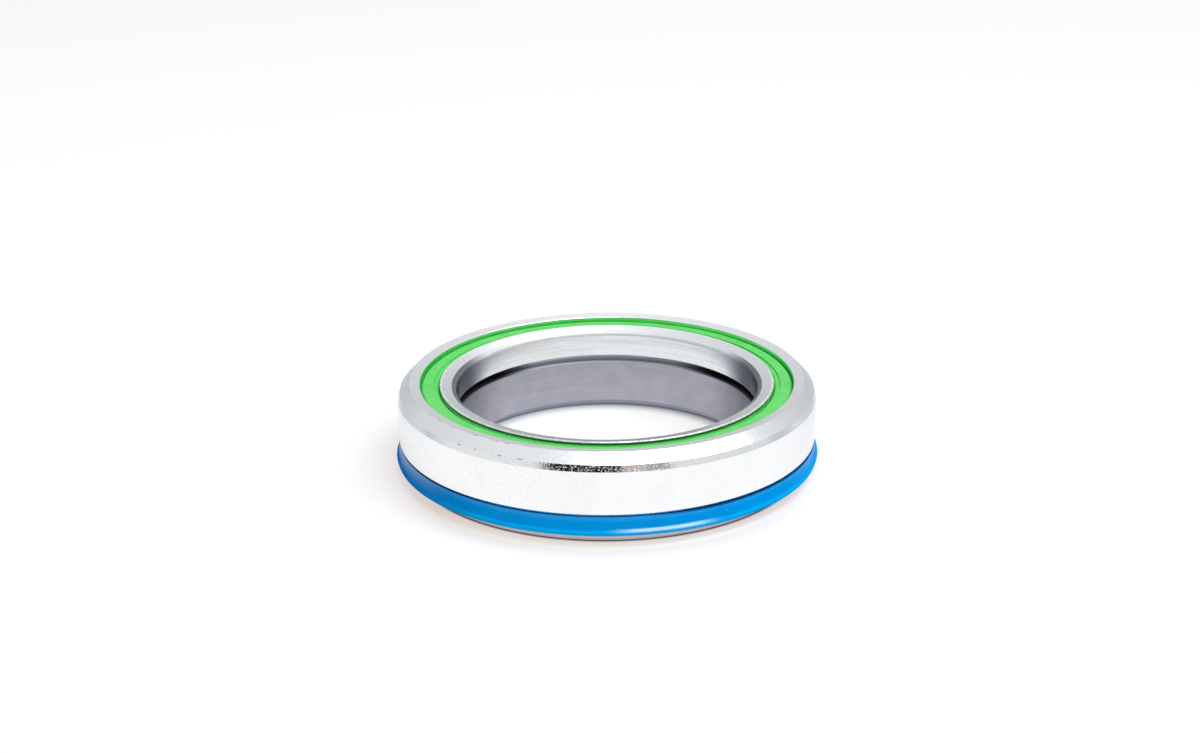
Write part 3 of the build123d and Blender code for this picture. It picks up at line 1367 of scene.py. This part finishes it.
@dataclass
class UpperSeal(TurnedPiece):
    """Green seal between the bearing rings: a snap bead, a flat face and a stepped lip."""

    name: str = "upper_seal_moulded"
    node: str = "upper_seal"
    body: Body = Body.HEAD_TUBE_SIDE
    # the seal's outer edge, under the land, gets painted shade
    finish: Finish = field(default_factory=lambda: Rubber(painted_edge_radii=(18.30, 18.66)))
    wave: float = 0.006

    snap_radius: float = 18.93
    snap_top: float = 8.38
    neck_radius: float = 18.65
    slope: float = 0.28
    bottom: float = 7.98
    dip_height: float = 8.14
    top: float = 8.46
    step_radius: float = 17.34
    step_height: float = 8.30
    lip_radius: float = 16.76
    lip_hang: float = 0.18
    lip_tip: float = 0.10
    edge: float = 0.04

    def section(self) -> Section:
        """Draws the section.

        Returns:
            The seal's section, from the bottom of its snap bead upwards.
        """
        lip_height = self.step_height - self.lip_hang
        return Section([
            Corner(self.snap_radius, self.bottom, self.edge),
            Corner(self.snap_radius, self.snap_top, self.edge),
            Corner(self.neck_radius, self.snap_top),
            Corner(self.neck_radius, self.dip_height),
            Corner(self.neck_radius - self.slope, self.top, self.edge),
            Corner(self.step_radius, self.top, self.edge),
            Corner(self.step_radius, self.step_height),
            Corner(self.lip_radius + self.lip_hang, self.step_height, self.edge),
            Corner(self.lip_radius, lip_height),
            Corner(self.lip_radius, lip_height - self.lip_tip),
            Corner(self.step_radius, self.bottom),
        ])


@dataclass
class NickMaker:
    """Scatters small nicks on the outer ring's edges, some of them where the photo shows them."""

    seed: int = 11
    count: int = 16
    seen: tuple[tuple[int, float], ...] = (
        (OuterRing.LAND_EDGE, -47.0),
        (OuterRing.LAND_EDGE, -38.5),
        (OuterRing.LAND_EDGE, -31.0),
        (OuterRing.LAND_EDGE, -28.0),
        (OuterRing.SEAT_EDGE, -42.0),
        (OuterRing.SEAT_EDGE, -36.6),
        (OuterRing.SEAT_EDGE, -28.9),
        (OuterRing.SEAT_EDGE, -23.0),
    )
    half_width: tuple[float, float] = (0.14, 0.50)
    reach: tuple[float, float] = (0.08, 0.14)
    depth: tuple[float, float] = (0.010, 0.028)

    FRONT = -90.0

    def make(self) -> list[Nick]:
        """Draws the nicks.

        Returns:
            The nicks, in an order that is the same each run.
        """
        draw = np.random.default_rng(self.seed)
        edges = (OuterRing.LAND_EDGE, OuterRing.SEAT_EDGE, OuterRing.BAND_EDGE)
        places = [(edge, self.FRONT + turn) for edge, turn in self.seen]
        places += [
            (edges[int(draw.integers(len(edges)))], float(draw.uniform(0.0, 360.0)))
            for _ in range(self.count)
        ]
        return [
            Nick(
                edge,
                math.radians(angle),
                float(draw.uniform(*self.half_width)),
                float(draw.uniform(*self.reach)),
                float(draw.uniform(*self.depth)),
            )
            for edge, angle in places
        ]


@dataclass
class HiddenPieces:
    """Balls, retainer and lower seal, which keep their CAD shapes."""

    ball_count: int = 24

    def dress(self, nodes: dict[str, bpy.types.Object]) -> None:
        """Gives the carried-over nodes their finishes.

        Args:
            nodes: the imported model's nodes by name.
        """
        steel = BallSteel().material()
        finishes = {f"ball_{number:02d}": steel for number in range(1, self.ball_count + 1)}
        finishes["ball_retainer"] = MouldedNylon().material()
        finishes["lower_seal"] = Rubber().material()
        for name, material in finishes.items():
            nodes[name].material_slots[0].material = material
        log.info("%d carried-over nodes dressed", len(finishes))


@dataclass(frozen=True)
class Lamp:
    """A soft rectangular lamp that points at the object, with its width along a given direction."""

    name: str
    towards: tuple[float, float, float]
    along: tuple[float, float, float]
    width: float
    depth: float
    radiance: float

    DISTANCE = 2.0
    AIM = (0.0, 0.0, 0.005)

    def build(self) -> None:
        """Adds the lamp to the scene."""
        light = bpy.data.lights.new(self.name, "AREA")
        light.shape = "RECTANGLE"
        light.size = self.width
        light.size_y = self.depth
        light.energy = self.radiance * math.pi * self.width * self.depth
        way = Vector(self.towards).normalized()
        along = Vector(self.along)
        across = (along - along.dot(way) * way).normalized()
        turn = Matrix((across, way.cross(across), way)).transposed().to_4x4()
        lamp = add_object(self.name, light)
        lamp.matrix_world = Matrix.Translation(way * self.DISTANCE + Vector(self.AIM)) @ turn
        lamp.visible_camera = False


@dataclass(frozen=True)
class Card:
    """A card that only reflections show, by its azimuth from the front and its elevation in degrees."""

    azimuth: float
    half_width: float
    elevation: Span
    colour: Colour
    soft: float = 2.5

    def edge(self, angle: float) -> Span:
        """Start and end in radians of a soft edge at an angle in degrees."""
        return math.radians(angle - self.soft), math.radians(angle + self.soft)

    def mask(self, graph: Graph, way: Shade, rise: Shade) -> Shade:
        """Where the card shows.

        Args:
            graph: the world's graph.
            way: direction that is looked along.
            rise: the direction's height, the sine of its elevation.

        Returns:
            The card's mask, from 0 to 1.
        """
        turn = math.radians(self.azimuth)
        middle = (math.sin(turn), -math.cos(turn), 0.0)
        side = (math.cos(turn), math.sin(turn), 0.0)
        parts = [
            graph.node("ShaderNodeVectorMath", {"operation": "DOT_PRODUCT"}, {0: way, 1: axis}, "Value")
            for axis in (side, middle)
        ]
        off = graph.maths("ABSOLUTE", graph.maths("ARCTAN2", *parts))
        inside = 1.0 - graph.step(off, self.edge(self.half_width))
        sines = [tuple(map(math.sin, self.edge(angle))) for angle in self.elevation]
        above, past_top = (graph.step(rise, span) for span in sines)
        return inside * above * (1.0 - past_top)


@dataclass
class Studio:
    """White floor with painted shadow and bounce light round the object's foot, soft lamps and a plain
    dome round the object.

    The floor's spans are radii about the object in millimetres, and its arcs are spans of the sine.
    """

    floor_half: float = 5.0
    floor_drop: float = 0.00001
    paper: Colour = (0.90, 0.90, 0.90)
    lit_paper: Colour = (0.41, 0.49, 0.55)
    # painted contact shade, shadow and bounce light round the foot
    contact_paper: Colour = (0.32, 0.24, 0.17)
    glow: Colour = (0.64, 0.565, 0.51)
    shade: Colour = (0.49, 0.375, 0.29)
    bounce: Colour = (0.69, 0.585, 0.45)
    contact: Colour = (0.02, 0.01, 0.005)
    under_bore: Colour = (0.42, 0.41, 0.44)
    contact_radius: float = 17.5
    bore_shade: Span = (13.2, 15.7)
    base_edge: Span = (19.5, 19.9)
    front_bounce: Span = (20.7, 22.1)
    front_shade: Span = (20.9, 24.8)
    front_arc: Span = (-0.9, -0.3)
    shade_share: float = 0.8
    back_paper: Span = (24.0, 50.0)
    back_arc: Span = (0.0, 0.5)
    far_paper: Span = (45.0, 160.0)
    far_loss: float = 0.68
    fading: Span = (110.0, 330.0)
    fading_loss: float = 0.09
    room_light: Colour = (0.40, 0.40, 0.40)
    horizon: Colour = (0.58, 0.59, 0.61)
    zenith: Colour = (0.82, 0.84, 0.86)
    dome_rise: Span = (0.1, 0.9)
    cards: tuple[Card, ...] = (
        Card(174.0, 9.0, (35.0, 56.0), (1.25, 1.25, 1.25), 3.5),
        Card(-83.0, 46.0, (-10.0, 22.0), (0.82, 0.825, 0.83), 3.0),
        Card(64.0, 31.0, (-10.0, 22.0), (0.74, 0.755, 0.755), 6.0),
        Card(-12.5, 20.5, (4.0, 21.0), (0.015, 0.015, 0.02), 1.5),
        Card(13.75, 5.75, (4.0, 21.0), (0.55, 0.46, 0.42)),
        Card(25.75, 6.25, (4.0, 21.0), (0.36, 0.36, 0.37)),
    )
    lamps: tuple[Lamp, ...] = (
        Lamp("softbox_over", (0.325, -0.147, 0.935), (0.824, 0.516, -0.23), 1.91, 0.46, 8.0),
        Lamp("strip_front", (0.411, -0.563, 0.716), (0.883, 0.441, -0.159), 1.70, 0.40, 2.5),
    )

    def floor_paper(self) -> bpy.types.Material:
        """Makes the floor's material: white paper with painted shadow and painted bounce light round the
        object's foot.

        Returns:
            The new material.
        """
        material = bpy.data.materials.new("floor_paper")
        material.use_nodes = True
        graph = Graph(material.node_tree)
        place = AxisPlace(graph)
        rays = graph.node("ShaderNodeLightPath", output="Is Camera Ray")
        mirrored = rays.output("Is Glossy Ray")
        seen = graph.maths("MAXIMUM", rays, mirrored)
        past_base = place.outwards(self.base_edge)
        front = past_base * (1.0 - place.backwards(self.front_arc))
        in_shade = front * (1.0 - place.outwards(self.front_shade))
        in_bounce = front * (1.0 - place.outwards(self.front_bounce))
        clear = graph.maths("MAXIMUM", 1.0 - place.outwards(self.bore_shade), past_base)
        # painted shadow in front, painted bounce light under the wiper and a painted dark contact under
        # the base
        shine = graph.blend(self.shade_share * in_shade, self.glow, self.shade)
        shine = graph.blend(in_bounce, shine, self.bounce)
        shine = graph.blend(clear, graph.blend(mirrored, self.contact, self.under_bore), shine)
        behind = place.backwards(self.back_arc) * place.outwards(self.back_paper)
        far_off = graph.maths("MAXIMUM", place.outwards(self.far_paper), behind)
        faded = self.fading_loss * place.outwards(self.fading)
        strength = seen * (1.0 - self.far_loss * far_off * mirrored - faded)
        # painted contact shade in the paper under the base
        touching = place.outside(self.contact_radius) * (1.0 - past_base)
        colour = graph.blend(touching, self.lit_paper, self.contact_paper)
        colour = graph.blend(seen, self.paper, colour)
        paper = graph.node("ShaderNodeBsdfDiffuse", {}, {"Color": colour})
        glow = graph.node("ShaderNodeEmission", {}, {"Color": graph.blend(strength, BLACK, shine)})
        both = graph.node("ShaderNodeAddShader", {}, {0: paper, 1: glow})
        graph.node("ShaderNodeOutputMaterial", {}, {"Surface": both}, output=None)
        return material

    def floor(self) -> None:
        """Makes the floor and its paper."""
        half, drop = self.floor_half, -self.floor_drop
        mesh = bpy.data.meshes.new("floor")
        corners = [(-half, -half, drop), (half, -half, drop), (half, half, drop), (-half, half, drop)]
        mesh.from_pydata(corners, [], [(0, 1, 2, 3)])
        floor = add_object("floor", mesh)
        mesh.materials.append(self.floor_paper())

    def dome(self) -> None:
        """Sets the world: white to the camera, a studio dome in reflections, soft light for the rest."""
        world = bpy.data.worlds.new("studio")
        bpy.context.scene.world = world
        world.use_nodes = True
        graph = Graph(world.node_tree)
        way = graph.node("ShaderNodeTexCoord", output="Generated")
        rise = graph.node("ShaderNodeSeparateXYZ", {}, {"Vector": way}, output="Z")
        tone = graph.blend(graph.step(rise, self.dome_rise), self.horizon, self.zenith)
        for card in self.cards:
            tone = graph.blend(card.mask(graph, way, rise), tone, card.colour)
        rays = graph.node("ShaderNodeLightPath", output="Is Camera Ray")
        clear = graph.maths("MAXIMUM", rays, rays.output("Is Transmission Ray"))
        light = graph.blend(rays.output("Is Glossy Ray"), self.room_light, tone)
        light = graph.blend(clear, light, WHITE)
        back = graph.node("ShaderNodeBackground", {}, {"Color": light})
        graph.node("ShaderNodeOutputWorld", {}, {"Surface": back}, output=None)

    def build(self) -> None:
        """Adds the floor, the dome and the lamps."""
        self.floor()
        self.dome()
        for lamp in self.lamps:
            lamp.build()
        log.info("studio: floor, dome and %d lamps", len(self.lamps))


@dataclass
class PhotoCamera:
    """The photo's viewpoint, fitted to the rings' outlines."""

    place: tuple[float, float, float] = (-0.00067, -0.18772, 0.07908)
    look_down: float = 20.489
    roll: float = -0.46
    lens: float = 60.0
    sensor: float = 36.0
    near: float = 0.005
    far: float = 50.0

    def build(self) -> None:
        """Adds the camera and makes it the scene's own."""
        data = bpy.data.cameras.new("photo_camera")
        data.lens = self.lens
        data.sensor_width = self.sensor
        data.sensor_fit = "HORIZONTAL"
        data.clip_start = self.near
        data.clip_end = self.far
        camera = add_object("photo_camera", data)
        pitch = Matrix.Rotation(math.radians(90.0 - self.look_down), 4, "X")
        roll = Matrix.Rotation(math.radians(self.roll), 4, "Z")
        camera.matrix_world = Matrix.Translation(self.place) @ pitch @ roll
        bpy.context.scene.camera = camera


def main() -> None:
    logging.basicConfig(level=logging.INFO)
    bpy.context.scene.view_settings.view_transform = "Standard"
    PhotoCamera().build()
    outer_ring = OuterRing(nicks=NickMaker().make())
    for piece in (CrownRace(), WiperSeal(), InnerRing(), UpperSeal(), outer_ring):
        piece.build()
    HiddenPieces().dress(frame["nodes"])
    Studio().build()


if __name__ == "__main__":
    main()
